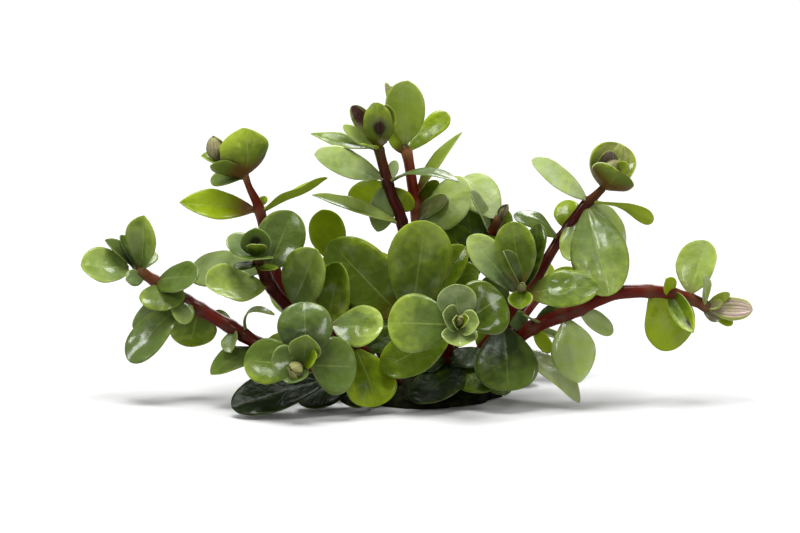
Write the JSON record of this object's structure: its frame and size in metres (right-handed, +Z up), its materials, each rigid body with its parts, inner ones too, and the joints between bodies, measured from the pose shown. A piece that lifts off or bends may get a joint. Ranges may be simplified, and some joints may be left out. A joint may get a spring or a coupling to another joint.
{
  "type": "aquarium stem plant",
  "caption": "Low clump of an aquarium stem plant, with round glossy green leaves on red stems, cut off flat below its crown so that it stands by itself.",
  "frame": {"origin": "centre of the crown's cut base, on the surface that the clump stands on", "axes": "+Z up, X along the clump's greatest width, and -Y towards the side that the picture shows"},
  "size_m": [0.1348, 0.0668, 0.0642],
  "materials": {
    "leaf": "glossy waxy leaf",
    "stem": "smooth and slightly glossy",
    "crown": "rough plant tissue"
  },
  "bodies": {
    "root": {"back_centre_shoot": "stem", "back_left_shoot": "stem", "back_low_left_shoot": "stem", "back_right_shoot": "stem", "centre_dark_leaf": "leaf", "centre_right_ground_leaf": "leaf", "centre_right_hanging_leaf": "leaf", "centre_right_pale_leaf": "leaf", "centre_right_shoot": "stem", "centre_right_side_leaf": "leaf", "centre_right_upright_leaf": "leaf", "centre_shoot": "stem", "centre_tall_leaf": "leaf", "crown": "crown", "far_left_back_leaf": "leaf", "far_left_long_leaf": "leaf", "far_left_low_leaf": "leaf", "far_left_lower_leaf": "leaf", "far_left_outer_leaf": "leaf", "far_left_shoot": "stem", "far_left_upper_leaf": "leaf", "far_left_upright_leaf": "leaf", "front_left_ground_leaf": "leaf", "front_left_hand_leaf": "leaf", "front_left_left_leaf": "leaf", "front_left_right_leaf": "leaf", "front_left_shoot": "stem", "front_left_top_leaf": "leaf", "front_lower_leaf": "leaf", "front_right_hand_leaf": "leaf", "front_shoot": "stem", "low_left_bright_leaf": "leaf", "low_left_ringed_leaf": "leaf", "low_left_shoot": "stem", "mid_left_far_leaf": "leaf", "mid_left_inner_leaf": "leaf", "mid_left_near_leaf": "leaf", "mid_left_shoot": "stem", "mid_left_upright_leaf": "leaf", "right_arched_leaf": "leaf", "right_hanging_leaf": "leaf", "right_shoot": "stem", "right_under_leaf": "leaf", "right_upright_leaf": "leaf", "top_back_low_leaf": "leaf", "top_back_shoot": "stem", "top_back_upright_leaf": "leaf", "top_front_left_leaf": "leaf", "top_front_long_leaf": "leaf", "top_front_right_leaf": "leaf", "top_front_shoot": "stem", "top_right_shoot": "stem", "upper_left_left_leaf": "leaf", "upper_left_right_leaf": "leaf", "upper_left_shoot": "stem", "upper_right_hanging_leaf": "leaf", "upper_right_inner_leaf": "leaf", "upper_right_left_leaf": "leaf", "upper_right_shoot": "stem", "upper_right_twisted_leaf": "leaf"}
  },
  "joints": []
}
